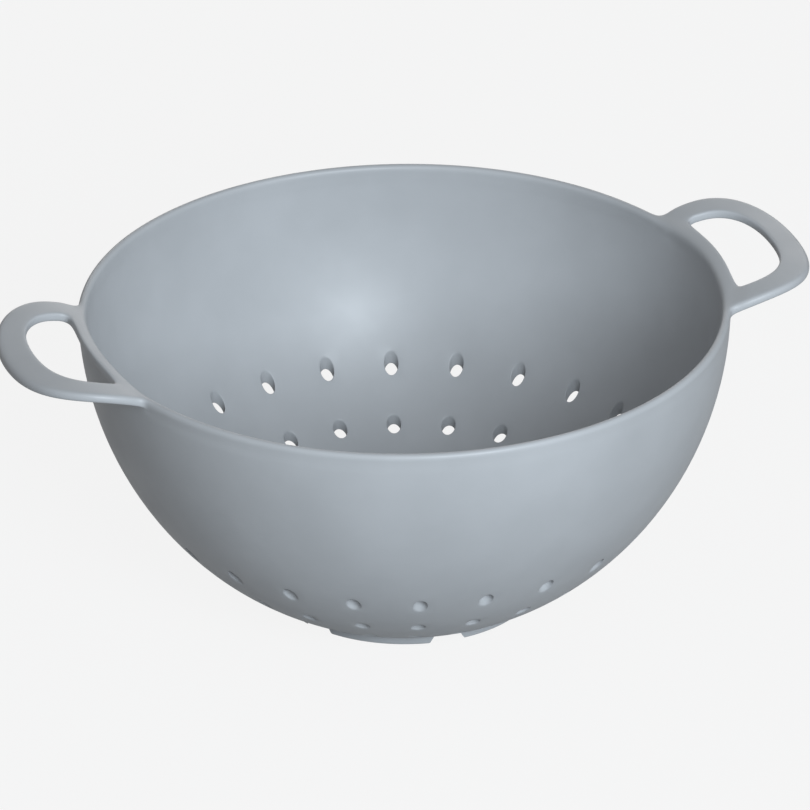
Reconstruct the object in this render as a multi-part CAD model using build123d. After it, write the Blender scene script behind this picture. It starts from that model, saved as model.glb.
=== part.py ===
"""A round plastic colander with two loop handles and a low segmented foot ring.

The origin is at the centre of the resting plane, +Z is up and +X runs through both handles.
The bowl, the handles and the foot segments are solids of their own that meet face to face.
"""

import os
from math import asin, degrees, hypot, sqrt

from build123d import *

# Bowl: overall sizes, in millimetres
rim_radius = 115.0
rim_height = 110.0
wall = 3.0

# Bowl: the wall follows an ellipse that turns vertical a little above the rim
# and would bottom out a little below the resting plane
equator_rise = 3.1
base_sink = 7.3
lip_share = 0.48
floor_blend = 14.0

# Foot ring: segments with drain gaps between them, the gaps narrower at the top
foot_radius = 46.3
foot_width = 3.2
foot_height = 2.9
foot_count = 6
gap_width = 12.1
gap_slope_run = 1.8
gap_corner_radius = 1.2
foot_edge_radius = 0.6

# Drain holes: they run straight down, in rings about the axis
hole_radius = 2.5
upper_ring_radius = 89.6
middle_ring_radius = 74.8
lower_ring_radius = 59.5
floor_outer_ring_radius = 33.0
floor_inner_ring_radius = 16.5
wall_ring_holes = 24
floor_outer_ring_holes = 12
floor_inner_ring_holes = 6

# Handles: the plan is an oval whose centre lies a little outside the rim
handle_centre_offset = 3.0
handle_half_length = 29.1
handle_half_width = 39.6
handle_fullness_share = 0.626
grip_width_at_tip = 10.5
grip_width_at_sides = 11.3
opening_fullness_share = 0.664
opening_corner_radius = 4.0
bar_overhang = 2.2
root_reach = 5.0

# Handles: the plate rises from the rim in a shallow arch
handle_thickness = 3.4
handle_edge_radius = 1.2
arch_rise = 5.2
arch_root_inset = 6.9
arch_crest_offset = 16.3
land_width = 2.1

# One overrun serves every cut
overrun = 5.0

# The ellipses of the wall's outer and inner faces
equator_height = rim_height + equator_rise
outer_depth = equator_height + base_sink
outer_half = rim_radius / sqrt(1 - (equator_rise / outer_depth) ** 2)
inner_depth = outer_depth - wall
inner_half = outer_half - wall
floor_height = foot_height + wall

# The foot ring reaches up to the wall where it stands further out than the flat floor
wall_height_at_foot = equator_height - outer_depth * sqrt(1 - (foot_radius / outer_half) ** 2)
foot_top = max(foot_height, wall_height_at_foot)

# Where the handles' arch and openings lie
handle_centre = rim_radius + handle_centre_offset
bar_radius = rim_radius + bar_overhang
arch_root = rim_radius - arch_root_inset
arch_crest = rim_radius + arch_crest_offset
land_radius = rim_radius - land_width
arch_chord = arch_crest - arch_root
arch_radius = (arch_chord**2 + arch_rise**2) / (2 * arch_rise)
arch_inner_radius = arch_radius - handle_thickness
arch_centre_height = rim_height + arch_rise - arch_radius
handle_high = rim_height + arch_rise + overrun
handle_root_radius = bar_radius + root_reach


def wall_arc(half, depth, low, high):
    """The arc of an ellipse about the bowl's axis, between two heights."""
    start = degrees(asin((low - equator_height) / depth))
    end = degrees(asin((high - equator_height) / depth))
    return EllipticalCenterArc((0, equator_height), half, depth, start_angle=start, arc_size=end - start)


def bowl_shell():
    """The wall with its rounded lip, and the flat floor inside the foot ring."""
    outer = wall_arc(outer_half, outer_depth, foot_height, rim_height)
    inner = wall_arc(inner_half, inner_depth, floor_height, rim_height)
    profile = make_face(
        [
            Line((0, foot_height), outer @ 0),
            outer,
            Line(outer @ 1, inner @ 1),
            inner,
            Line(inner @ 0, (0, floor_height)),
            Line((0, floor_height), (0, foot_height)),
        ]
    )
    lip_corners = profile.vertices().group_by(Axis.Y)[-1]
    profile = fillet(lip_corners, wall * lip_share)
    floor_corner = profile.vertices().sort_by_distance(inner @ 0)[0]
    profile = fillet(floor_corner, floor_blend)
    return revolve(Plane.XZ * profile, Axis.Z)


def bowl_outline():
    """Half of the bowl's section taken as solid, from the floor's underside to the rim."""
    outer = wall_arc(outer_half, outer_depth, foot_height, rim_height)
    return make_face(
        [
            Line((0, foot_height), outer @ 0),
            outer,
            Line(outer @ 1, (0, rim_height)),
            Line((0, rim_height), (0, foot_height)),
        ]
    )


def rounded_oval(half_x, half_y, fullness):
    """An oval face of four curves, fuller at its shoulders than an ellipse."""
    quarter = [(half_x, 0), (half_x, fullness * half_y), (fullness * half_x, half_y), (0, half_y)]
    curves = []
    for sign_x, sign_y in ((1, 1), (-1, 1), (-1, -1), (1, -1)):
        points = [(sign_x * x, sign_y * y) for x, y in quarter]
        curves.append(Bezier(*points))
    return make_face(curves)


def opening_plan():
    """The finger opening, between the handle's grip and the bar that the rim makes."""
    half_x = handle_half_length - grip_width_at_tip
    half_y = handle_half_width - grip_width_at_sides
    face = Pos(handle_centre, 0) * rounded_oval(half_x, half_y, opening_fullness_share)
    face = face - Circle(bar_radius)
    corners = face.vertices().sort_by(lambda v: abs(hypot(v.X, v.Y) - bar_radius))[:2]
    return fillet(corners, opening_corner_radius)


def on_arch(edge, radius):
    """Whether an edge lies on the arch's top face or bottom face, by that face's radius."""
    places = [edge @ share for share in (0, 0.25, 0.5, 0.75, 1)]
    distances = [hypot(p.X - arch_crest, p.Z - arch_centre_height) for p in places]
    return all(abs(d - radius) < handle_edge_radius / 100 for d in distances)


def arch():
    """The arched plate in its full width, before it is cut to the handle's plan."""
    ring = Circle(arch_radius) - Circle(arch_inner_radius)
    upper_half = Rectangle(2 * arch_radius, arch_radius, align=(Align.CENTER, Align.MIN))
    profile = Plane.XZ * Pos(arch_crest, arch_centre_height) * (ring & upper_half)
    return extrude(profile, handle_half_width + overrun, both=True)


def arch_beside_bowl():
    """The arch from the crest of the bowl's lip outwards, with its top edge there rounded."""
    block = Box(2 * (arch_chord + 2 * overrun), 2 * handle_half_width + overrun, 2 * arch_chord)
    band = (arch() & Pos(arch_crest, 0, rim_height) * block) - Cylinder(land_radius, 2 * handle_high)
    band = band.solids().sort_by(Axis.X)[-1]
    top_edges = [e for e in band.edges() if on_arch(e, arch_radius)]
    inner_edge = min(top_edges, key=lambda e: hypot((e @ 0.5).X, (e @ 0.5).Y))
    return fillet(inner_edge, handle_edge_radius)


def handle_plate():
    """One whole handle with rounded edges, from the crest of the bowl's lip to its tip."""
    plan = Pos(handle_centre, 0) * rounded_oval(handle_half_length, handle_half_width, handle_fullness_share)
    plate = arch() & extrude(plan, handle_high)
    plate = plate - extrude(opening_plan(), handle_high)
    rims = [e for e in plate.edges() if on_arch(e, arch_radius) or on_arch(e, arch_inner_radius)]
    return fillet(rims, handle_edge_radius) & arch_beside_bowl()


def ring_holes(ring_radius, count):
    """One ring of upright cutters for the drain holes."""
    places = PolarLocations(ring_radius, count)
    drill = Cylinder(hole_radius, rim_height, align=(Align.CENTER, Align.CENTER, Align.MIN))
    return [place * drill for place in places]


def drain_holes():
    """The cutters of every ring."""
    rings = [
        (upper_ring_radius, wall_ring_holes),
        (middle_ring_radius, wall_ring_holes),
        (lower_ring_radius, wall_ring_holes),
        (floor_outer_ring_radius, floor_outer_ring_holes),
        (floor_inner_ring_radius, floor_inner_ring_holes),
    ]
    return [drill for ring_radius, count in rings for drill in ring_holes(ring_radius, count)]


def gap_cutter():
    """One drain gap of the foot ring, wide at the resting plane and rounded at its top corners."""
    half = gap_width / 2
    top_half = half - gap_slope_run
    outline = make_face(
        Polyline(
            (-half - gap_slope_run, -foot_top),
            (half + gap_slope_run, -foot_top),
            (half, 0),
            (top_half, foot_top),
            (-top_half, foot_top),
            (-half, 0),
            close=True,
        )
    )
    top_corners = outline.vertices().group_by(Axis.Y)[-1]
    outline = fillet(top_corners, gap_corner_radius)
    return extrude(Plane.YZ * outline, foot_radius + overrun)


def foot_section():
    """The foot ring's section, with rounded low corners and its top cut to the bowl's underside."""
    block = Pos(foot_radius - foot_width / 2, foot_top / 2) * Rectangle(foot_width, foot_top)
    low_corners = block.vertices().group_by(Axis.Y)[0]
    return fillet(low_corners, foot_edge_radius) - bowl_outline()


def foot_segment():
    """One segment of the foot ring, centred on +X between two drain gaps."""
    step = 360 / foot_count
    segment = Rot(0, 0, -step / 2) * revolve(Plane.XZ * foot_section(), Axis.Z, step)
    for side in (-1, 1):
        segment = segment - Rot(0, 0, side * step / 2) * gap_cutter()
    return segment


def colander():
    """Every node of the part by name."""
    plate = handle_plate()
    core = Cylinder(handle_root_radius, 2 * handle_high)
    bowl = bowl_shell()
    nodes = {}
    for name, turn in (("handle_right", 0), ("handle_left", 180)):
        bowl = bowl + Rot(0, 0, turn) * (plate & core)
        nodes[name] = Rot(0, 0, turn) * (plate - core)
    nodes["bowl"] = bowl - drain_holes()
    segment = foot_segment()
    for index in range(foot_count):
        nodes[f"foot_segment_{index + 1}"] = Rot(0, 0, index * 360 / foot_count) * segment
    return nodes


os.makedirs("parts", exist_ok=True)
for name, shape in colander().items():
    shape.label = name
    export_step(shape, f"parts/{name}.step")
    print(name, "volume", round(shape.volume, 1))
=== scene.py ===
"""A moulded plastic colander with two loop handles, drawn over its CAD frame.

Shapes are worked in millimetres and scaled to metres when a piece is finished.
+Z is up, +X runs through both handles and the origin lies on the resting plane.
"""

from bisect import bisect_left
from itertools import accumulate
from math import asin, atan2, ceil, copysign, cos, hypot, pi, radians, sin, sqrt
from types import SimpleNamespace

import bmesh
import bpy
from mathutils import Matrix, Vector


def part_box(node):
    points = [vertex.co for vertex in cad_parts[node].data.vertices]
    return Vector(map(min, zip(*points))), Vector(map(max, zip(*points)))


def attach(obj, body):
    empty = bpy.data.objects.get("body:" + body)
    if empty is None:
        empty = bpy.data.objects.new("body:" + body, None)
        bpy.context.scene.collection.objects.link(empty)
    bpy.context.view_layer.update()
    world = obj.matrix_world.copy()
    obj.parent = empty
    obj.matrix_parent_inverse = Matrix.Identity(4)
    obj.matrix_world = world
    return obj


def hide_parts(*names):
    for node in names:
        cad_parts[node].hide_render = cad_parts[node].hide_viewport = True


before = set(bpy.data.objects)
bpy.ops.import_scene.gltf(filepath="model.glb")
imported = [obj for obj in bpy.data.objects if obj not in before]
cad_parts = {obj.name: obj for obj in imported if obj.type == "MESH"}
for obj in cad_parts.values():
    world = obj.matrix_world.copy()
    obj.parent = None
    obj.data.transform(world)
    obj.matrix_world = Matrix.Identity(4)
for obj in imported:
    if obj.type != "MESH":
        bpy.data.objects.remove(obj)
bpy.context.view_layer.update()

bl_info = {
    "name": "Moulded Colander",
    "version": (1, 0, 0),
    "blender": (4, 5, 0),
    "location": "View3D > Sidebar > Colander",
    "description": "Builds a moulded plastic colander with loop handles, its stage and its camera",
    "category": "Object",
}

# A millimetre in metres
MM = 0.001

# The CAD body that every piece rides on, and the CAD nodes of the foot ring
RIDES_ON = "root"
FOOT_NODES = [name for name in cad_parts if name.startswith("foot_segment_")]

# Wall: columns of its mesh, rows between the holes and the seam, and the widest gap between rows
WALL_COLUMNS = 192
UPPER_ROWS = 11
WIDEST_ROW_GAP = 3.6

# Wall: radii of rows at the middle of the floor, and close together where the floor turns up
CENTRE_ROWS = (0.0, 3.0, 6.0, 9.0)
FLOOR_EDGE_ROWS = (42.6, 44.4, 45.6, 46.34, 47.2, 48.6)

# Drain holes: each ring's radius, its number of holes, and columns of mesh on each side of a hole's middle
HOLE_RINGS = (
    (16.5, 6, 8),
    (33.0, 12, 4),
    (59.5, 24, 2),
    (74.8, 24, 2),
    (89.6, 24, 2),
)

# Drain holes: rows of mesh on each side of a hole's middle, and the distance between them
HOLE_ROWS = 2
HOLE_ROW_STEP = 2.1

# Drain holes: how near the edge of a hole's block a vertex counts as on it, as a share of the block's reach
BLOCK_EDGE = 0.03

# Drain holes: how far round its rounded edge each loop of a hole lies
HOLE_EDGE_ANGLES = (0.0, radians(35), radians(65), radians(90))

# Rim: columns of its control cage, a quarter of them, and how often the cage is smoothed
RIM_COLUMNS = 96
QUARTER = RIM_COLUMNS // 4
RIM_LEVELS = 2

# Rim: depths below the lip at which it is welded to the wall, lies on the wall's faces, and is free of them
SEAM_DROP = 24.0
FIT_DROP = 7.0
FREE_DROP = 4.5

# Rim: how far outside the wall's widest circle a point still belongs to the wall
WALL_MARGIN = 0.2

# Lip's section: depths of its inner face's rows, places of its crest's rows across the wall and below the
# lip, depths of its outer face's rows, and the depth at which the wall's middle is found
INNER_DROPS = (SEAM_DROP, 19.0, 14.0, 9.5, 5.8, 3.2)
CREST_POINTS = ((-1.62, 1.45), (-1.15, 0.25), (0.0, -0.125), (1.15, 0.25), (1.62, 1.45))
OUTER_DROPS = (2.7, 3.9, 5.8, 9.5, 14.0, 19.0, SEAM_DROP)
LIP_MIDDLE_DROP = 2.0
RIM_ROWS = len(INNER_DROPS) + len(CREST_POINTS) + len(OUTER_DROPS)

# Bar's section beside an opening, for the lip's rows: the circle that a point is measured from, how far
# outside it the point lies, the face of the arch that it follows, and how far inside that face it lies
BAR_SECTION = {
    4: ("rim", -3.0, "top", 6.0),
    5: ("rim", -3.0, "top", 3.2),
    6: ("rim", -3.05, "top", 1.1),
    7: ("rim", -2.35, "top", 0.0),
    8: ("rim", -0.3, "top", 0.0),
    9: ("bar", -0.45, "top", 0.0),
    10: ("bar", 0.03, "top", 0.75),
    11: ("bar", 0.03, "bottom", 0.8),
    12: ("bar", -0.5, "bottom", 0.0),
    13: ("rim", 0.05, "bottom", -0.2),
    14: ("rim", 0.0, "bottom", -3.4),
}

# Bar: how much of its section each column takes, from the handle's middle outwards, and the row below it that
# takes more
BAR_SHARES = (1, 1, 1, 1, 0.8, 0.3, 0)
UNDER_BAR_ROW = 13
UNDER_BAR_SHARES = (1, 1, 1, 1, 1, 1, 0.6)

# Lip's top rows, which rise with the arch, and how softly they start to
ARCH_ROWS = range(7, 10)
ARCH_BLEND = 0.8

# Bearings in degrees of the rim's columns near a handle's middle, and how far each row is slid to them; the
# other columns are evenly spaced
SLID_BEARINGS = (0, 4.8, 10.2, 13.9, 15.0, 18.1, 20.3, 21.5, 25, 30, 35, 40, 45)
SLIDE_BY_ROW = (0, 0.25, 0.6, 0.9, 1, 1, 1, 1, 1, 1, 1, 1, 1, 1, 0.9, 0.6, 0.25, 0)

# Grip's section round its outline: the edge that a point is measured from, how far inside it the point lies,
# the face of the arch that it follows, and how far inside that face it lies
GRIP_SECTION = (
    ("inner", 0.40, "top", 0.05),
    ("inner", 2.20, "top", 0.0),
    ("outer", 2.60, "top", 0.0),
    ("outer", 0.68, "top", 0.12),
    ("outer", -0.08, "top", 1.15),
    ("outer", -0.08, "bottom", 0.9),
    ("outer", 0.50, "bottom", 0.0),
    ("outer", 2.20, "bottom", 0.0),
    ("inner", 2.20, "bottom", 0.0),
    ("inner", 0.50, "bottom", 0.0),
    ("inner", -0.06, "bottom", 0.75),
    ("inner", -0.06, "top", 0.75),
)

# Grip's section: the points of its two sides, and those at a side's top and bottom
INNER_CORNERS = (0, 9)
INNER_SIDE = (0, 9, 10, 11)
OUTER_CORNERS = (3, 6)
OUTER_SIDE = (3, 4, 5, 6)

# Grip's root in the rim's cage: the point of the section at each row and column, and the vertices inside
GRIP_ROOT = {
    (9, 3): 0, (9, 4): 1, (9, 5): 2, (9, 6): 3, (10, 6): 4, (11, 6): 5,
    (12, 6): 6, (12, 5): 7, (12, 4): 8, (12, 3): 9, (11, 3): 10, (10, 3): 11,
}
ROOT_INSIDE = {(10, 4), (10, 5), (11, 4), (11, 5)}

# Grip's root: how far its inner corners are set back, its inner side is slanted, its outer corners are set
# back, and its outer side is flared along the rim
INNER_SETBACK = 0.4
INNER_SLANT = 0.85
OUTER_SETBACK = 0.45
OUTER_FLARE = 1.3

# Grip's length: stations in its root, as shares of the way to the CAD's parting cylinder, and even steps from
# there to the tip
ROOT_SHARES = {"outer": (0.0, 0.22, 0.6), "inner": (0.0, 0.68, 0.86)}
TIP_STATIONS = 10

# Grip's length: samples that even its stations out, halvings that find a crossing, and the share of its bend
# by which a station is pushed out, because smoothing draws the cage in
CURVE_SAMPLES = 400
HALVINGS = 50
PUSH_SHARE = 1 / 6

# Marks on the moulding's faces: the bowl's, and the handle's on each side
BOWL_MARK = 0
HANDLE_MARKS = {1: 1, -1: 2}

# Welding distances: within a mesh, and at the seam of two
WELD = 0.004
SEAM_WELD = 0.02

# Foot ring: how far it is sunk into the bowl, cuts along a segment, steps of its rounding, a distance that
# counts as none, and the angle from which an edge is drawn sharp
FOOT_SINK = 0.15
FOOT_CUTS = 17
FOOT_ROUNDING_STEPS = 3
NEARLY_ZERO = 0.03
SHARP_ANGLE = radians(40)

# Plastic: scale and detail of the noises in its colour, its roughness and its grain
MOTTLE_NOISE = (28.0, 4.0)
PATCH_NOISE = (60.0, 3.0)
GRAIN_NOISE = (1400.0, 2.0)

# Plastic: the range that a noise fills, how far the roughness falls and rises, the grain's strength, and the
# specular level
NOISE_RANGE = (0.3, 0.7)
ROUGHNESS_FALL = 0.04
ROUGHNESS_RISE = 0.05
GRAIN_STRENGTH = 0.25
PLASTIC_SPECULAR = 0.3

# Stage, in metres: the floor's reach and look, and each lamp's place, size and colour
FLOOR_REACH = 12.0
FLOOR_ROUGHNESS = 0.9
FLOOR_SPECULAR = 0.1
KEY_PLACE = (0.1, -2.18, 1.12)
KEY_SIZE = 1.0
KEY_COLOUR = (0.84, 0.93, 1.0)
BACK_PLACE = (0.9, 2.3, 0.3)
BACK_SIZE = 1.6
WHITE = (1.0, 1.0, 1.0)

# Camera: the sensor's width in millimetres, and the furthest distance in metres that it sees
SENSOR_WIDTH = 36.0
SIGHT_END = 100.0


def length_property(name, description, millimetres):
    """A length that a user can change, kept in metres."""
    return bpy.props.FloatProperty(
        name=name,
        description=description,
        default=millimetres * MM,
        min=0.0,
        precision=4,
        subtype="DISTANCE",
        unit="LENGTH",
    )


def share_property(name, description, share, lowest=0.0):
    """A share of one that a user can change."""
    return bpy.props.FloatProperty(
        name=name,
        description=description,
        default=share,
        min=lowest,
        max=1.0,
        subtype="FACTOR",
    )


def angle_property(name, description, angle):
    """An angle that a user can change, kept in radians."""
    return bpy.props.FloatProperty(
        name=name,
        description=description,
        default=angle,
        subtype="ANGLE",
        unit="ROTATION",
    )


def power_property(name, description, watts):
    """A lamp's power that a user can change."""
    return bpy.props.FloatProperty(name=name, description=description, default=watts, min=0.0, unit="POWER")


def colour_property(name, description, colour):
    """A colour that a user can change."""
    return bpy.props.FloatVectorProperty(
        name=name,
        description=description,
        default=colour,
        size=3,
        min=0.0,
        max=1.0,
        subtype="COLOR",
    )


class ColanderBowlSettings(bpy.types.PropertyGroup):
    """Sizes of the bowl, its drain holes and its foot ring."""

    rim_radius: length_property("Rim radius", "Outer radius of the bowl at its lip", 115.0)
    rim_height: length_property("Rim height", "Height of the lip above the resting plane", 110.0)
    wall: length_property("Wall", "Thickness of the moulded wall", 3.0)
    equator_rise: length_property("Equator rise", "How far above the lip the wall would turn vertical", 3.1)
    base_sink: length_property("Base sink", "How far below the resting plane the wall's curve would end", 7.3)
    floor_blend: length_property("Floor blend", "Softness of the inner corner between floor and wall", 1.36)
    hole_radius: length_property("Hole radius", "Radius of one drain hole", 2.5)
    hole_rounding: length_property("Hole rounding", "Rounding of a drain hole's edges", 0.45)
    foot_radius: length_property("Foot radius", "Outer radius of the foot ring", 46.3)
    foot_width: length_property("Foot width", "Width of the foot ring", 3.2)
    foot_height: length_property("Foot height", "Height of the foot ring", 2.9)
    foot_gap: length_property("Foot gap", "Width of a drain gap at the resting plane", 12.1)
    foot_gap_slope: length_property("Foot gap slope", "How far each side of a gap leans in", 1.8)
    foot_rounding: length_property("Foot rounding", "Rounding of the foot ring's low edges", 0.6)


class ColanderHandleSettings(bpy.types.PropertyGroup):
    """Sizes of the two loop handles."""

    centre_offset: length_property("Centre offset", "How far outside the rim the oval is centred", 3.0)
    half_length: length_property("Half length", "Half of the oval's length away from the bowl", 29.1)
    half_width: length_property("Half width", "Half of the oval's width along the rim", 39.6)
    tip_width: length_property("Grip width at tip", "Width of the grip at its tip", 10.5)
    side_width: length_property("Grip width at sides", "Width of the grip at its sides", 11.3)
    bar_overhang: length_property("Bar overhang", "How far the rim's bar stands out beside the opening", 2.2)
    root_reach: length_property("Root reach", "How far beyond the bar the handle starts", 5.0)
    thickness: length_property("Thickness", "Thickness of the arched plate", 3.4)
    arch_rise: length_property("Arch rise", "How far the arch's crest stands above the lip", 5.2)
    arch_root_inset: length_property("Arch root inset", "How far inside the rim the arch would start", 6.9)
    arch_crest_offset: length_property("Arch crest offset", "How far outside the rim the crest lies", 16.3)
    oval_fullness: share_property("Oval fullness", "Fullness of the outer oval's shoulders", 0.626, 0.3)
    opening_fullness: share_property("Opening fullness", "Fullness of the opening's shoulders", 0.664, 0.3)


class ColanderPlasticSettings(bpy.types.PropertyGroup):
    """Look of the moulded plastic."""

    colour: colour_property("Colour", "Colour of the plastic", (0.40, 0.41, 0.425))
    roughness: share_property("Roughness", "How matte the surface is", 0.41)
    mottle: share_property("Mottle", "How much the colour varies over the surface", 0.05)
    grain: length_property("Grain", "Depth of the fine moulded texture", 0.02)


class ColanderStageSettings(bpy.types.PropertyGroup):
    """Floor, light and camera."""

    floor_colour: colour_property("Floor colour", "Colour of the floor", (0.34, 0.34, 0.34))
    floor_white: share_property("Floor white", "How far the floor is drawn white where it is looked at", 0.88)
    gloss_share: share_property("Gloss share", "How much of the white background shows in gloss", 0.35)
    world_strength: share_property("World strength", "Strength of the even light from all sides", 0.28)
    key_power: power_property("Key power", "Power of the main lamp", 65.0)
    back_power: power_property("Back power", "Power of the soft lamp behind the colander", 12.0)
    camera_azimuth: angle_property("Camera azimuth", "Bearing of the camera", radians(-18.0857))
    camera_elevation: angle_property("Camera elevation", "Camera's angle above the horizon", radians(27.05))
    camera_roll: angle_property("Camera roll", "Turn of the camera about its line of sight", 0.007857)
    camera_distance: length_property("Camera distance", "Distance of the camera from its aim", 6892.0)
    camera_aim: length_property("Camera aim", "Height of the point on the axis that it looks at", 71.3)
    camera_lens: bpy.props.FloatProperty(
        name="Camera lens", description="Focal length", default=867.69, min=1.0, unit="CAMERA",
    )


def sizes(group):
    """A settings group's values by name, with its lengths in millimetres."""
    values = SimpleNamespace()
    for key, prop in group.bl_rna.properties.items():
        if prop.type == "FLOAT":
            value = getattr(group, key)
            setattr(values, key, value / MM if prop.unit == "LENGTH" else value)
    return values


def soft_max(a, b, blend):
    """The larger of two values, with a smooth change from one to the other."""
    share = min(1.0, max(0.0, 0.5 + 0.5 * (b - a) / blend))
    return a + (b - a) * share + blend * share * (1 - share)


class Sheet:
    """One face of the wall: an ellipse about the bowl's axis that ends in a flat floor.

    into_wall is 1 where the wall's thickness lies above the face, and -1 where it lies below.
    """

    def __init__(self, half, depth, equator, floor, blend, into_wall):
        self.half = half
        self.depth = depth
        self.equator = equator
        self.floor = floor
        self.blend = blend
        self.into_wall = into_wall

    def radius_at(self, z):
        """The radius at a height."""
        return self.half * sqrt(1 - ((self.equator - z) / self.depth) ** 2)

    def height_at(self, radius):
        """The height at a plan radius, the floor included."""
        curve = self.equator - self.depth * sqrt(max(0.0, 1 - (radius / self.half) ** 2))
        if self.blend == 0:
            return max(self.floor, curve)
        return soft_max(self.floor, curve, self.blend)


def bowl_sheets(bowl):
    """The wall's outer and inner faces."""
    equator = bowl.rim_height + bowl.equator_rise
    depth = equator + bowl.base_sink
    half = bowl.rim_radius / sqrt(1 - (bowl.equator_rise / depth) ** 2)
    floor, wall = bowl.foot_height, bowl.wall
    outer = Sheet(half, depth, equator, floor, blend=0, into_wall=1)
    inner = Sheet(half - wall, depth - wall, equator, floor + wall, blend=bowl.floor_blend, into_wall=-1)
    return outer, inner


def spin_profile(bm, points, columns):
    """Spins a profile of radii and heights once round the axis."""
    verts = [bm.verts.new((radius, 0, height)) for radius, height in points]
    edges = [bm.edges.new(pair) for pair in zip(verts, verts[1:])]
    bmesh.ops.spin(
        bm, geom=verts + edges, cent=(0, 0, 0), axis=(0, 0, 1), angle=2 * pi, steps=columns, use_merge=True,
    )


def wall_radii():
    """Plan radii of the wall's rows, up to the top of the highest ring of holes."""
    fixed = [*CENTRE_ROWS, *FLOOR_EDGE_ROWS]
    for ring, _, _ in HOLE_RINGS:
        fixed += [ring + HOLE_ROW_STEP * row for row in range(-HOLE_ROWS, HOLE_ROWS + 1)]
    fixed.sort()
    radii = fixed[:1]
    for start, end in zip(fixed, fixed[1:]):
        parts = ceil((end - start) / WIDEST_ROW_GAP)
        radii += [start + (end - start) * part / parts for part in range(1, parts + 1)]
    return radii


def add_wall_sheet(bm, sheet, radii, seam):
    """Spins one face of the wall from the axis up to the seam."""
    points = [(radius, sheet.height_at(radius)) for radius in radii]
    low = points[-1][1]
    for row in range(1, UPPER_ROWS + 1):
        height = low + (seam - low) * row / UPPER_ROWS
        points.append((sheet.radius_at(height), height))
    spin_profile(bm, points, WALL_COLUMNS)


def place_key(v):
    """A vertex's place as a key."""
    return round(v.co.x, 3), round(v.co.y, 3), round(v.co.z, 3)


def grow(bm, edges, marks, place):
    """Extrudes open edges by one band, carries the vertices' marks on and puts the new ones in place."""
    known = {place_key(v): marks[v] for e in edges for v in e.verts}
    made = bmesh.ops.extrude_edge_only(bm, edges=edges)["geom"]
    verts = [g for g in made if isinstance(g, bmesh.types.BMVert)]
    for v in verts:
        marks[v] = known[place_key(v)]
        v.co = place(*marks[v])
    fresh = set(verts)
    return [g for g in made if isinstance(g, bmesh.types.BMEdge) and set(g.verts) <= fresh]


def square_to_round(across, up):
    """The bearing on a circle that a point on a square's outline goes to."""
    if abs(across) >= abs(up):
        bearing = pi / 4 * up / across
        return bearing if across > 0 else bearing + pi
    bearing = pi / 2 - pi / 4 * across / up
    return bearing if up > 0 else bearing + pi


def hole_block(v):
    """Where a vertex lies in a hole's block of the wall's mesh: ring, turn, across and up, or None."""
    radius = hypot(v.co.x, v.co.y)
    turn = atan2(v.co.y, v.co.x)
    for ring, count, reach in HOLE_RINGS:
        up = (radius - ring) / HOLE_ROW_STEP / HOLE_ROWS
        step = 2 * pi / count
        hole_turn = round(turn / step) * step
        across = (turn - hole_turn) / (2 * pi / WALL_COLUMNS) / reach
        if max(abs(up), abs(across)) < 1 + BLOCK_EDGE:
            return ring, hole_turn, across, up
    return None


def inside_block(v):
    """Whether a vertex lies inside a hole's block and not on its edge."""
    block = hole_block(v)
    return block is not None and max(abs(block[2]), abs(block[3])) < 1 - BLOCK_EDGE


def hole_loops(bm):
    """The open edges round the drain holes."""
    return [e for e in bm.edges if e.is_boundary and all(hole_block(v) for v in e.verts)]


def cut_holes(bm, sheets, hole_radius, rounding):
    """Opens the drain holes in both faces of the wall and joins the faces through them."""
    outer, inner = sheets
    bmesh.ops.delete(bm, geom=[v for v in bm.verts if inside_block(v)], context="VERTS")

    def sheet_of(v):
        radius = hypot(v.co.x, v.co.y)
        halfway = (outer.height_at(radius) + inner.height_at(radius)) / 2
        return outer if v.co.z < halfway else inner

    def edge_point(sheet, ring, turn, bearing, angle):
        reach = hole_radius + rounding * (1 - sin(angle))
        sideways = -reach * cos(bearing)
        outwards = ring + reach * sin(bearing)
        height = sheet.height_at(hypot(outwards, sideways))
        height += sheet.into_wall * rounding * (1 - cos(angle))
        x = outwards * cos(turn) + sideways * sin(turn)
        y = outwards * sin(turn) - sideways * cos(turn)
        return Vector((x, y, height))

    # The blocks of the innermost ring have edges enough, and the others' are halved
    innermost = HOLE_RINGS[0][0]
    coarse = [e for e in hole_loops(bm) if hole_block(e.verts[0])[0] != innermost]
    for v in bmesh.ops.subdivide_edges(bm, edges=coarse, cuts=1)["geom_inner"]:
        if isinstance(v, bmesh.types.BMVert):
            v.co.z = sheet_of(v).height_at(hypot(v.co.x, v.co.y))

    edges = hole_loops(bm)
    marks = {}
    for v in {v for e in edges for v in e.verts}:
        ring, turn, across, up = hole_block(v)
        marks[v] = (sheet_of(v), ring, turn, square_to_round(across, up))
    for angle in HOLE_EDGE_ANGLES:
        edges = grow(bm, edges, marks, lambda *mark: edge_point(*mark, angle))
    outer_edges = [e for e in edges if marks[e.verts[0]][0] is outer]
    grow(bm, outer_edges, marks, lambda _, *rest: edge_point(inner, *rest, HOLE_EDGE_ANGLES[-1]))
    bmesh.ops.remove_doubles(bm, verts=bm.verts, dist=WELD)


def bezier(points, t):
    """A point of a cubic curve."""
    a, b, c, d = points
    u = 1 - t
    return a * u ** 3 + b * 3 * t * u ** 2 + c * 3 * t ** 2 * u + d * t ** 3


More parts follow.
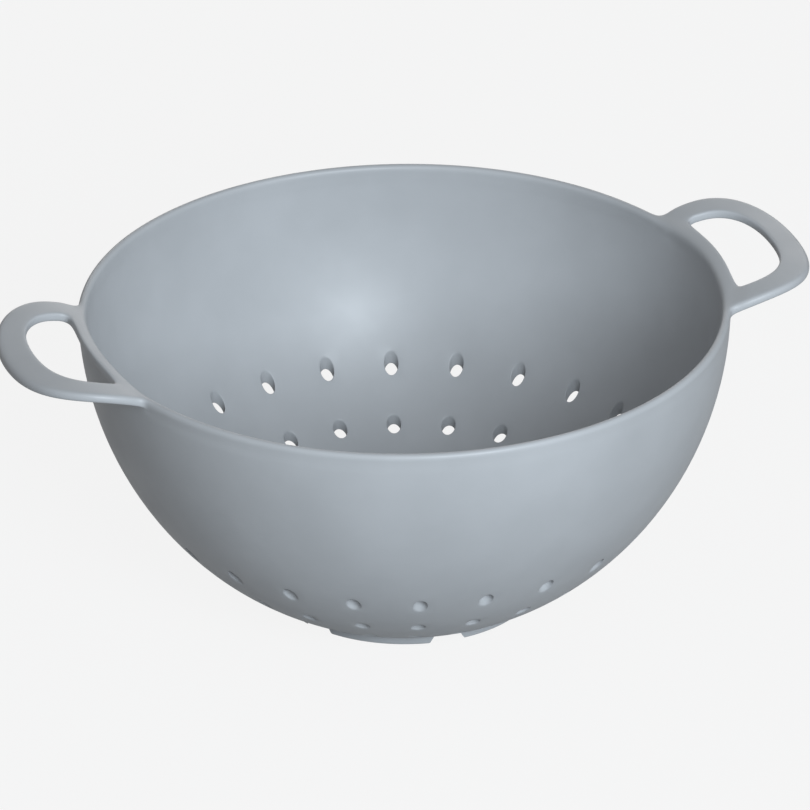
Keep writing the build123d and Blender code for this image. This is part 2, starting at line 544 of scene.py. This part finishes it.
class HandleForm:
    """The plan and the arch of a handle, for the one on +X and its +Y half."""

    def __init__(self, bowl, handle):
        self.rim = bowl.rim_radius
        self.centre = self.rim + handle.centre_offset
        self.bar = self.rim + handle.bar_overhang
        self.split = self.bar + handle.root_reach
        self.ovals = {
            "outer": (handle.half_length, handle.half_width, handle.oval_fullness),
            "inner": (
                handle.half_length - handle.tip_width,
                handle.half_width - handle.side_width,
                handle.opening_fullness,
            ),
        }
        root = self.rim - handle.arch_root_inset
        self.crest = self.rim + handle.arch_crest_offset
        chord = self.crest - root
        rise = handle.arch_rise
        self.arch_radius = (chord ** 2 + rise ** 2) / (2 * rise)
        self.arch_centre = bowl.rim_height + rise - self.arch_radius
        self.thickness = handle.thickness

    def face_height(self, face, depth, x):
        """The height of a point that lies a depth inside one of the arch's faces, by its distance along X."""
        radius = self.arch_radius if face == "top" else self.arch_radius - self.thickness
        height = self.arch_centre + sqrt(max(0.0, radius ** 2 - (x - self.crest) ** 2))
        return height - depth if face == "top" else height + depth

    def oval(self, edge, t):
        """A point of one of the grip's edges: t is 0 at the tip, 1 at the side and more nearer the bowl."""
        half_x, half_y, fullness = self.ovals[edge]
        corners = ((half_x, 0), (half_x, fullness * half_y), (fullness * half_x, half_y), (0, half_y))
        turned = t > 1
        point = bezier([Vector(corner) for corner in corners], 2 - t if turned else t)
        return Vector((self.centre + (-point.x if turned else point.x), point.y))

    def meets(self, edge, radius):
        """Where an edge crosses a circle about the bowl's axis."""
        near, far = 0.0, 2.0
        for _ in range(HALVINGS):
            middle = (near + far) / 2
            if self.oval(edge, middle).length > radius:
                near = middle
            else:
                far = middle
        return near

    def stations(self, edge):
        """Points along an edge from the bowl's wall or bar to the handle's tip."""
        root = self.meets(edge, self.rim if edge == "outer" else self.bar)
        split = self.meets(edge, self.split)
        points = [self.oval(edge, root + (split - root) * share) for share in ROOT_SHARES[edge]]
        kept = len(points)
        line = [self.oval(edge, split * (1 - step / CURVE_SAMPLES)) for step in range(CURVE_SAMPLES + 1)]
        reach = [0.0, *accumulate((b - a).length for a, b in zip(line, line[1:]))]
        for step in range(TIP_STATIONS + 1):
            points.append(line[bisect_left(reach, reach[-1] * (step / TIP_STATIONS))])
        points[-1].y = 0
        behind = points[:1] + points[:-1]
        ahead = points[1:] + [Vector((points[-2].x, -points[-2].y))]
        pushed = [p + (p * 2 - a - b) * PUSH_SHARE for p, a, b in zip(points, ahead, behind)]
        return points[:kept] + pushed[kept:]


def grip_point(form, inner, outer, slot):
    """One point of the grip's section between two points of its plan."""
    edge, inset, face, depth = GRIP_SECTION[slot]
    across = (outer - inner).normalized()
    plan = inner + across * inset if edge == "inner" else outer - across * inset
    return Vector((plan.x, plan.y, form.face_height(face, depth, plan.x)))


def folded_column(column):
    """A column's place in its half of the rim, and the column of the first quarter that it mirrors."""
    around = column % (2 * QUARTER)
    return around, min(around, 2 * QUARTER - around)


class RimCage:
    """The control cage of the lip and of the bars beside the openings, one quarter mirrored four times."""

    def __init__(self, bowl, handle):
        self.outer, self.inner = bowl_sheets(bowl)
        self.form = HandleForm(bowl, handle)
        self.top = bowl.rim_height
        self.seam = self.top - SEAM_DROP
        self.inner_line = self.form.stations("inner")
        self.outer_line = self.form.stations("outer")
        self.lip = self.lip_section()

    def lip_section(self):
        """Radius and height of every row away from the handles."""
        inside = [(self.inner.radius_at(self.top - drop), self.top - drop) for drop in INNER_DROPS]
        outside = [(self.outer.radius_at(self.top - drop), self.top - drop) for drop in OUTER_DROPS]
        near_top = self.top - LIP_MIDDLE_DROP
        middle = (self.inner.radius_at(near_top) + self.outer.radius_at(near_top)) / 2
        crest = [(middle + out, self.top - drop) for out, drop in CREST_POINTS]
        return inside + crest + outside

    def bar_point(self, row, bearing):
        """Radius and height of a row beside an opening."""
        circle, out, face, depth = BAR_SECTION[row]
        radius = (self.form.rim if circle == "rim" else self.form.bar) + out
        return radius, self.form.face_height(face, depth, radius * cos(bearing))

    def root_point(self, slot):
        """One point of the grip's root, where its corners are drawn in on the slant."""
        inner, outer = self.inner_line[0], self.outer_line[0]
        place = grip_point(self.form, inner, outer, slot)
        away = Vector((*inner, 0)).normalized()
        across = Vector((*(outer - inner), 0)).normalized()
        outwards = Vector((*outer, 0)).normalized()
        if slot in INNER_CORNERS:
            place -= INNER_SETBACK * away
        if slot in INNER_SIDE:
            place += INNER_SLANT * (away - across)
        if slot in OUTER_CORNERS:
            place -= OUTER_SETBACK * outwards
        if slot in OUTER_SIDE:
            place += OUTER_FLARE * Vector((-outwards.y, outwards.x, 0))
        return place

    def point(self, row, column):
        """The place of one vertex of the cage."""
        around, folded = folded_column(column)
        bearing = radians(folded * 360 / RIM_COLUMNS)
        if folded < len(SLID_BEARINGS):
            bearing += SLIDE_BY_ROW[row] * (radians(SLID_BEARINGS[folded]) - bearing)
        radius, height = self.lip[row]
        if row in BAR_SECTION and folded < len(BAR_SHARES):
            bar_radius, bar_height = self.bar_point(row, bearing)
            share = UNDER_BAR_SHARES[folded] if row == UNDER_BAR_ROW else BAR_SHARES[folded]
            radius += share * (bar_radius - radius)
            height += share * (bar_height - height)
        if row in ARCH_ROWS:
            height = soft_max(height, self.form.face_height("top", 0, radius * cos(bearing)), ARCH_BLEND)
        place = Vector((radius * cos(bearing), radius * sin(bearing), height))
        if (row, folded) in GRIP_ROOT:
            place = self.root_point(GRIP_ROOT[(row, folded)])
        if around > QUARTER:
            place.x = -place.x
        if column >= 2 * QUARTER:
            place.x, place.y = -place.x, -place.y
        return place


def rim_band(cage):
    """The cage of the rim with its grips' roots open, and the side and slot of each vertex round a root."""
    bm = bmesh.new()
    # A plain profile is spun first, from which each vertex's row and column can be read
    spin_profile(bm, [(cage.form.rim + row, row) for row in range(RIM_ROWS)], RIM_COLUMNS)
    inside = []
    marks = {}
    for v in bm.verts:
        row = round(v.co.z)
        column = round(atan2(v.co.y, v.co.x) / (2 * pi / RIM_COLUMNS)) % RIM_COLUMNS
        _, folded = folded_column(column)
        v.co = cage.point(row, column)
        if (row, folded) in GRIP_ROOT:
            marks[v] = (copysign(1, v.co.x), copysign(1, v.co.y), GRIP_ROOT[(row, folded)])
        elif (row, folded) in ROOT_INSIDE:
            inside.append(v)
    bmesh.ops.delete(bm, geom=inside, context="VERTS")
    return bm, marks


def grow_grips(bm, cage, marks):
    """Draws the grips out of their roots, welds their tips and marks the faces beyond the CAD's parting."""
    edges = [e for e in bm.edges if e.is_boundary and all(v in marks for v in e.verts)]
    parting = len(ROOT_SHARES["outer"])
    stations = list(zip(cage.inner_line, cage.outer_line))
    for index, (inner, outer) in enumerate(stations[1:], start=1):
        def place(side_x, side_y, slot):
            at = grip_point(cage.form, inner, outer, slot)
            return Vector((side_x * at.x, side_y * at.y, at.z))

        before = set(bm.faces)
        edges = grow(bm, edges, marks, place)
        if index > parting:
            for face in set(bm.faces) - before:
                face.material_index = HANDLE_MARKS[1 if face.calc_center_median().x > 0 else -1]
    bmesh.ops.remove_doubles(bm, verts=bm.verts, dist=WELD)
    bmesh.ops.recalc_face_normals(bm, faces=bm.faces)


def smoothed(bm, levels):
    """A mesh of a cage after it is subdivided, with its faces' marks kept."""
    mesh = bpy.data.meshes.new("cage")
    # Each mark has a material slot of its own, so that none is lost
    for _ in (BOWL_MARK, *HANDLE_MARKS):
        mesh.materials.append(None)
    bm.to_mesh(mesh)
    bm.free()
    cage_object = bpy.data.objects.new("cage", mesh)
    bpy.context.collection.objects.link(cage_object)
    smooth = cage_object.modifiers.new("Smooth", "SUBSURF")
    smooth.levels = levels
    smooth.render_levels = levels
    graph = bpy.context.evaluated_depsgraph_get()
    graph.update()
    made = bpy.data.meshes.new_from_object(cage_object.evaluated_get(graph))
    bpy.data.objects.remove(cage_object)
    bpy.data.meshes.remove(mesh)
    return made


def take_mesh(bm, mesh):
    """Adds a mesh to a bmesh and removes it."""
    bm.from_mesh(mesh)
    bpy.data.meshes.remove(mesh)


def fit_to_wall(bm, cage):
    """Brings the rim's low part exactly onto the wall's faces and its open edges onto the seam."""
    outer, inner = cage.outer, cage.inner
    free = cage.top - FREE_DROP
    fit = cage.top - FIT_DROP
    column_step = 2 * pi / (RIM_COLUMNS * 2 ** RIM_LEVELS)
    for v in bm.verts:
        radius = hypot(v.co.x, v.co.y)
        if v.co.z > free or radius > outer.half + WALL_MARGIN:
            continue
        turn = atan2(v.co.y, v.co.x)
        if v.is_boundary:
            v.co.z = cage.seam
            turn = round(turn / column_step) * column_step
        middle = (outer.radius_at(v.co.z) + inner.radius_at(v.co.z)) / 2
        sheet = outer if radius > middle else inner
        share = min(1.0, max(0.0, (free - v.co.z) / (free - fit)))
        radius += share * (sheet.radius_at(v.co.z) - radius)
        v.co.x = radius * cos(turn)
        v.co.y = radius * sin(turn)


def drained_wall(bowl, cage):
    """A mesh of the wall below the seam with its drain holes, its open edges divided as the rim's are."""
    sheets = (cage.outer, cage.inner)
    bm = bmesh.new()
    radii = wall_radii()
    for sheet in sheets:
        add_wall_sheet(bm, sheet, radii, cage.seam)
    bmesh.ops.remove_doubles(bm, verts=bm.verts, dist=WELD)
    cut_holes(bm, sheets, bowl.hole_radius, bowl.hole_rounding)
    bmesh.ops.subdivide_edges(bm, edges=[e for e in bm.edges if e.is_boundary], cuts=1)
    outer_radius, inner_radius = (sheet.radius_at(cage.seam) for sheet in sheets)
    middle = (outer_radius + inner_radius) / 2
    for v in bm.verts:
        if v.is_boundary:
            radius = outer_radius if hypot(v.co.x, v.co.y) > middle else inner_radius
            v.co = Vector((v.co.x, v.co.y, 0)).normalized() * radius + Vector((0, 0, cage.seam))
    mesh = bpy.data.meshes.new("wall")
    bm.to_mesh(mesh)
    bm.free()
    return mesh


def colander_body(bowl, handle):
    """The whole moulding but for its foot ring, closed."""
    cage = RimCage(bowl, handle)
    rim, marks = rim_band(cage)
    grow_grips(rim, cage, marks)
    bm = bmesh.new()
    take_mesh(bm, smoothed(rim, RIM_LEVELS))
    fit_to_wall(bm, cage)
    take_mesh(bm, drained_wall(bowl, cage))
    bmesh.ops.remove_doubles(bm, verts=bm.verts, dist=SEAM_WELD)
    bmesh.ops.recalc_face_normals(bm, faces=bm.faces)
    still_open = sum(not e.is_manifold for e in bm.edges)
    if still_open:
        raise RuntimeError(f"the moulding has {still_open} edges that don't close")
    return bm


def take_part(body, mark):
    """A closed copy of the faces with one mark, capped where it was parted from the rest."""
    bm = body.copy()
    bmesh.ops.delete(bm, geom=[f for f in bm.faces if f.material_index != mark], context="FACES")
    cuts = [e for e in bm.edges if e.is_boundary]
    caps = bmesh.ops.holes_fill(bm, edges=cuts, sides=0)["faces"]
    for e in cuts:
        e.smooth = False
    bmesh.ops.recalc_face_normals(bm, faces=bm.faces)
    for face in bm.faces:
        face.material_index = 0
        face.smooth = True
    for face in caps:
        face.smooth = False
    return bm


def finish_piece(bm, node):
    """Scales a bmesh to metres and makes it the piece that stands for a CAD node."""
    name = node + "_shape"
    bmesh.ops.scale(bm, vec=(MM, MM, MM), verts=bm.verts)
    mesh = bpy.data.meshes.new(name)
    bm.to_mesh(mesh)
    bm.free()
    mesh.materials.append(moulded_plastic(bpy.context.scene.colander_plastic))
    piece = bpy.data.objects.new(name, mesh)
    bpy.context.collection.objects.link(piece)
    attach(piece, RIDES_ON)
    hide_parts(node)


def foot_block(bowl):
    """One segment of the foot ring, centred on +X: a long block with rounded low edges, bent to the ring."""
    radius, width, height = bowl.foot_radius, bowl.foot_width, bowl.foot_height
    half_gap = bowl.foot_gap / 2
    half_step = pi / len(FOOT_NODES)
    length = 2 * (radius * half_step - half_gap)
    full_height = height + FOOT_SINK
    bm = bmesh.new()
    bmesh.ops.create_cube(bm, size=1)
    bmesh.ops.scale(bm, vec=(length, width, full_height), verts=bm.verts)
    bmesh.ops.translate(bm, vec=(0, 0, full_height / 2), verts=bm.verts)
    along = [e for e in bm.edges if e.calc_length() > length - NEARLY_ZERO]
    bmesh.ops.subdivide_edges(bm, edges=along, cuts=FOOT_CUTS)
    bm.normal_update()
    ground = [e for e in bm.edges if all(v.co.z < NEARLY_ZERO for v in e.verts)]
    low = [e for e in ground if e.calc_face_angle() > SHARP_ANGLE]
    bmesh.ops.bevel(
        bm, geom=low, offset=bowl.foot_rounding, offset_type="OFFSET", segments=FOOT_ROUNDING_STEPS,
        profile=0.5, affect="EDGES", clamp_overlap=True, material=-1,
    )
    for v in bm.verts:
        gap = half_gap - bowl.foot_gap_slope * min(1.0, v.co.z / height)
        ring = radius - width / 2 + v.co.y
        end = half_step - asin(gap / ring)
        turn = v.co.x / (length / 2) * end
        v.co = Vector((ring * cos(turn), ring * sin(turn), v.co.z))
    for face in bm.faces:
        face.smooth = True
    bmesh.ops.recalc_face_normals(bm, faces=bm.faces)
    for e in bm.edges:
        e.smooth = e.calc_face_angle() <= SHARP_ANGLE
    return bm


def new_material(name):
    """An empty node material, with its shader and its output linked."""
    material = bpy.data.materials.new(name)
    material.use_nodes = True
    tree = material.node_tree
    tree.nodes.clear()
    shader = tree.nodes.new("ShaderNodeBsdfPrincipled")
    output = tree.nodes.new("ShaderNodeOutputMaterial")
    tree.links.new(shader.outputs["BSDF"], output.inputs["Surface"])
    return material, shader, output


def noise(tree, where, scale_and_detail):
    """A noise that reads the piece's own coordinates."""
    texture = tree.nodes.new("ShaderNodeTexNoise")
    texture.inputs["Scale"].default_value, texture.inputs["Detail"].default_value = scale_and_detail
    tree.links.new(where.outputs["Object"], texture.inputs["Vector"])
    return texture


def spread(tree, source, low, high):
    """Spreads a noise between two values."""
    node = tree.nodes.new("ShaderNodeMapRange")
    node.inputs["From Min"].default_value, node.inputs["From Max"].default_value = NOISE_RANGE
    node.inputs["To Min"].default_value = low
    node.inputs["To Max"].default_value = high
    tree.links.new(source.outputs["Fac"], node.inputs["Value"])
    return node


def moulded_plastic(plastic):
    """The matte plastic of the whole moulding, made once."""
    name = "moulded plastic"
    if name in bpy.data.materials:
        return bpy.data.materials[name]
    material, shader, _ = new_material(name)
    shader.inputs["Specular IOR Level"].default_value = PLASTIC_SPECULAR
    tree = material.node_tree
    where = tree.nodes.new("ShaderNodeTexCoord")

    # A cloudy shade in the colour
    shade = spread(tree, noise(tree, where, MOTTLE_NOISE), 1 - plastic.mottle, 1 + plastic.mottle)
    tint = tree.nodes.new("ShaderNodeVectorMath")
    tint.operation = "SCALE"
    tint.inputs[0].default_value = plastic.colour
    tree.links.new(shade.outputs["Result"], tint.inputs["Scale"])
    tree.links.new(tint.outputs["Vector"], shader.inputs["Base Color"])

    # Patches of more and less gloss
    dullest = plastic.roughness + ROUGHNESS_RISE
    gloss = spread(tree, noise(tree, where, PATCH_NOISE), plastic.roughness - ROUGHNESS_FALL, dullest)
    tree.links.new(gloss.outputs["Result"], shader.inputs["Roughness"])

    # The mould's fine grain
    bump = tree.nodes.new("ShaderNodeBump")
    bump.inputs["Strength"].default_value = GRAIN_STRENGTH
    bump.inputs["Distance"].default_value = plastic.grain
    tree.links.new(noise(tree, where, GRAIN_NOISE).outputs["Fac"], bump.inputs["Height"])
    tree.links.new(bump.outputs["Normal"], shader.inputs["Normal"])
    return material


def math_node(tree, operation, first, second):
    """The result of a sum on a socket and another socket or a plain number."""
    node = tree.nodes.new("ShaderNodeMath")
    node.operation = operation
    tree.links.new(first, node.inputs[0])
    if isinstance(second, float):
        node.inputs[1].default_value = second
    else:
        tree.links.new(second, node.inputs[1])
    return node.outputs["Value"]


def seen_directly(tree, gloss_share):
    """A value of 1 where the camera or glass looks at a surface, a share for gloss, and 0 for its light."""
    path = tree.nodes.new("ShaderNodeLightPath")
    gloss = math_node(tree, "MULTIPLY", path.outputs["Is Glossy Ray"], gloss_share)
    seen = math_node(tree, "MAXIMUM", path.outputs["Is Camera Ray"], gloss)
    return math_node(tree, "MAXIMUM", seen, path.outputs["Is Transmission Ray"])


def plain_world(strength, gloss_share):
    """Even light all round, white where the camera, gloss or glass looks at it."""
    world = bpy.data.worlds.new("studio")
    bpy.context.scene.world = world
    world.use_nodes = True
    tree = world.node_tree
    back = tree.nodes["Background"]
    back.inputs["Color"].default_value = (*WHITE, 1.0)
    level = tree.nodes.new("ShaderNodeMapRange")
    level.inputs["To Min"].default_value = strength
    level.inputs["To Max"].default_value = 1.0
    tree.links.new(seen_directly(tree, gloss_share), level.inputs["Value"])
    tree.links.new(level.outputs["Result"], back.inputs["Strength"])


def floor_material(stage):
    """A pale matte floor that is drawn mostly white where it is looked at, and keeps some of its shadow."""
    material, shader, output = new_material("pale floor")
    shader.inputs["Base Color"].default_value = (*stage.floor_colour, 1.0)
    shader.inputs["Roughness"].default_value = FLOOR_ROUGHNESS
    shader.inputs["Specular IOR Level"].default_value = FLOOR_SPECULAR
    tree = material.node_tree
    white = tree.nodes.new("ShaderNodeEmission")
    mix = tree.nodes.new("ShaderNodeMixShader")
    share = math_node(tree, "MULTIPLY", seen_directly(tree, stage.gloss_share), stage.floor_white)
    tree.links.new(share, mix.inputs["Fac"])
    tree.links.new(shader.outputs["BSDF"], mix.inputs[1])
    tree.links.new(white.outputs["Emission"], mix.inputs[2])
    tree.links.new(mix.outputs["Shader"], output.inputs["Surface"])
    return material


def pale_floor(stage):
    """A wide floor under the colander."""
    bm = bmesh.new()
    bmesh.ops.create_grid(bm, x_segments=1, y_segments=1, size=FLOOR_REACH)
    mesh = bpy.data.meshes.new("floor")
    bm.to_mesh(mesh)
    bm.free()
    mesh.materials.append(floor_material(stage))
    floor = bpy.data.objects.new("floor", mesh)
    bpy.context.collection.objects.link(floor)


def soft_lamp(name, power, colour, size, place, aim):
    """A soft square lamp at a place that faces another."""
    data = bpy.data.lights.new(name, "AREA")
    data.energy = power
    data.color = colour
    data.size = size
    lamp = bpy.data.objects.new(name, data)
    bpy.context.collection.objects.link(lamp)
    lamp.location = place
    lamp.rotation_euler = (aim - Vector(place)).to_track_quat("-Z", "Y").to_euler()


def photo_camera(stage, aim):
    """The camera at the photograph's angle, made the scene's own."""
    data = bpy.data.cameras.new("camera")
    data.lens = stage.camera_lens
    data.sensor_width = SENSOR_WIDTH
    data.clip_end = SIGHT_END
    camera = bpy.data.objects.new("camera", data)
    bpy.context.collection.objects.link(camera)
    turned = Matrix.Rotation(stage.camera_azimuth, 4, "Z")
    turned @= Matrix.Rotation(pi / 2 - stage.camera_elevation, 4, "X")
    turned @= Matrix.Rotation(-stage.camera_roll, 4, "Z")
    back_off = Matrix.Translation((0, 0, stage.camera_distance))
    camera.matrix_world = Matrix.Translation(aim) @ turned @ back_off
    bpy.context.scene.camera = camera


class COLANDER_OT_moulding(bpy.types.Operator):
    """Make the bowl with its drain holes and the two loop handles"""

    bl_idname = "colander.moulding"
    bl_label = "Bowl and handles"
    bl_options = {"REGISTER", "UNDO"}

    def execute(self, context):
        scene = context.scene
        body = colander_body(sizes(scene.colander_bowl), sizes(scene.colander_handle))
        parts = {"bowl": BOWL_MARK, "handle_right": HANDLE_MARKS[1], "handle_left": HANDLE_MARKS[-1]}
        for node, mark in parts.items():
            finish_piece(take_part(body, mark), node)
        body.free()
        return {"FINISHED"}


class COLANDER_OT_foot_ring(bpy.types.Operator):
    """Make the segments of the foot ring"""

    bl_idname = "colander.foot_ring"
    bl_label = "Foot ring"
    bl_options = {"REGISTER", "UNDO"}

    def execute(self, context):
        block = foot_block(sizes(context.scene.colander_bowl))
        for node in FOOT_NODES:
            low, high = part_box(node)
            turn = atan2(low[1] + high[1], low[0] + high[0])
            segment = block.copy()
            turned = Matrix.Rotation(turn, 3, "Z")
            bmesh.ops.rotate(segment, cent=(0, 0, 0), matrix=turned, verts=segment.verts)
            finish_piece(segment, node)
        block.free()
        return {"FINISHED"}


class COLANDER_OT_stage(bpy.types.Operator):
    """Make the floor, the lamps, the world and the camera"""

    bl_idname = "colander.stage"
    bl_label = "Stage"
    bl_options = {"REGISTER", "UNDO"}

    def execute(self, context):
        stage = context.scene.colander_stage
        aim = Vector((0, 0, stage.camera_aim))
        context.scene.view_settings.view_transform = "Standard"
        plain_world(stage.world_strength, stage.gloss_share)
        pale_floor(stage)
        soft_lamp("key lamp", stage.key_power, KEY_COLOUR, KEY_SIZE, KEY_PLACE, aim)
        soft_lamp("back lamp", stage.back_power, WHITE, BACK_SIZE, BACK_PLACE, aim)
        photo_camera(stage, aim)
        return {"FINISHED"}


class COLANDER_PT_panel(bpy.types.Panel):
    """The colander's settings and operators"""

    bl_idname = "COLANDER_PT_panel"
    bl_label = "Colander"
    bl_space_type = "VIEW_3D"
    bl_region_type = "UI"
    bl_category = "Colander"

    def draw(self, context):
        layout = self.layout
        for name, (label, _) in SETTINGS.items():
            box = layout.box()
            box.label(text=label)
            group = getattr(context.scene, name)
            for key, prop in group.bl_rna.properties.items():
                if prop.type == "FLOAT":
                    box.prop(group, key)
        for operator in OPERATORS:
            layout.operator(operator.bl_idname)


SETTINGS = {
    "colander_bowl": ("Bowl", ColanderBowlSettings),
    "colander_handle": ("Handles", ColanderHandleSettings),
    "colander_plastic": ("Plastic", ColanderPlasticSettings),
    "colander_stage": ("Stage", ColanderStageSettings),
}
OPERATORS = (COLANDER_OT_moulding, COLANDER_OT_foot_ring, COLANDER_OT_stage)
CLASSES = (*[group for _, group in SETTINGS.values()], *OPERATORS, COLANDER_PT_panel)


def register():
    """Adds the classes and the scene's settings to Blender."""
    for cls in CLASSES:
        bpy.utils.register_class(cls)
    for name, (_, group) in SETTINGS.items():
        setattr(bpy.types.Scene, name, bpy.props.PointerProperty(type=group))


def unregister():
    """Takes the settings and the classes out again."""
    for name in SETTINGS:
        delattr(bpy.types.Scene, name)
    for cls in reversed(CLASSES):
        bpy.utils.unregister_class(cls)


def main():
    """Builds everything in order."""
    register()
    bpy.ops.colander.moulding()
    bpy.ops.colander.foot_ring()
    bpy.ops.colander.stage()


if __name__ == "__main__":
    main()
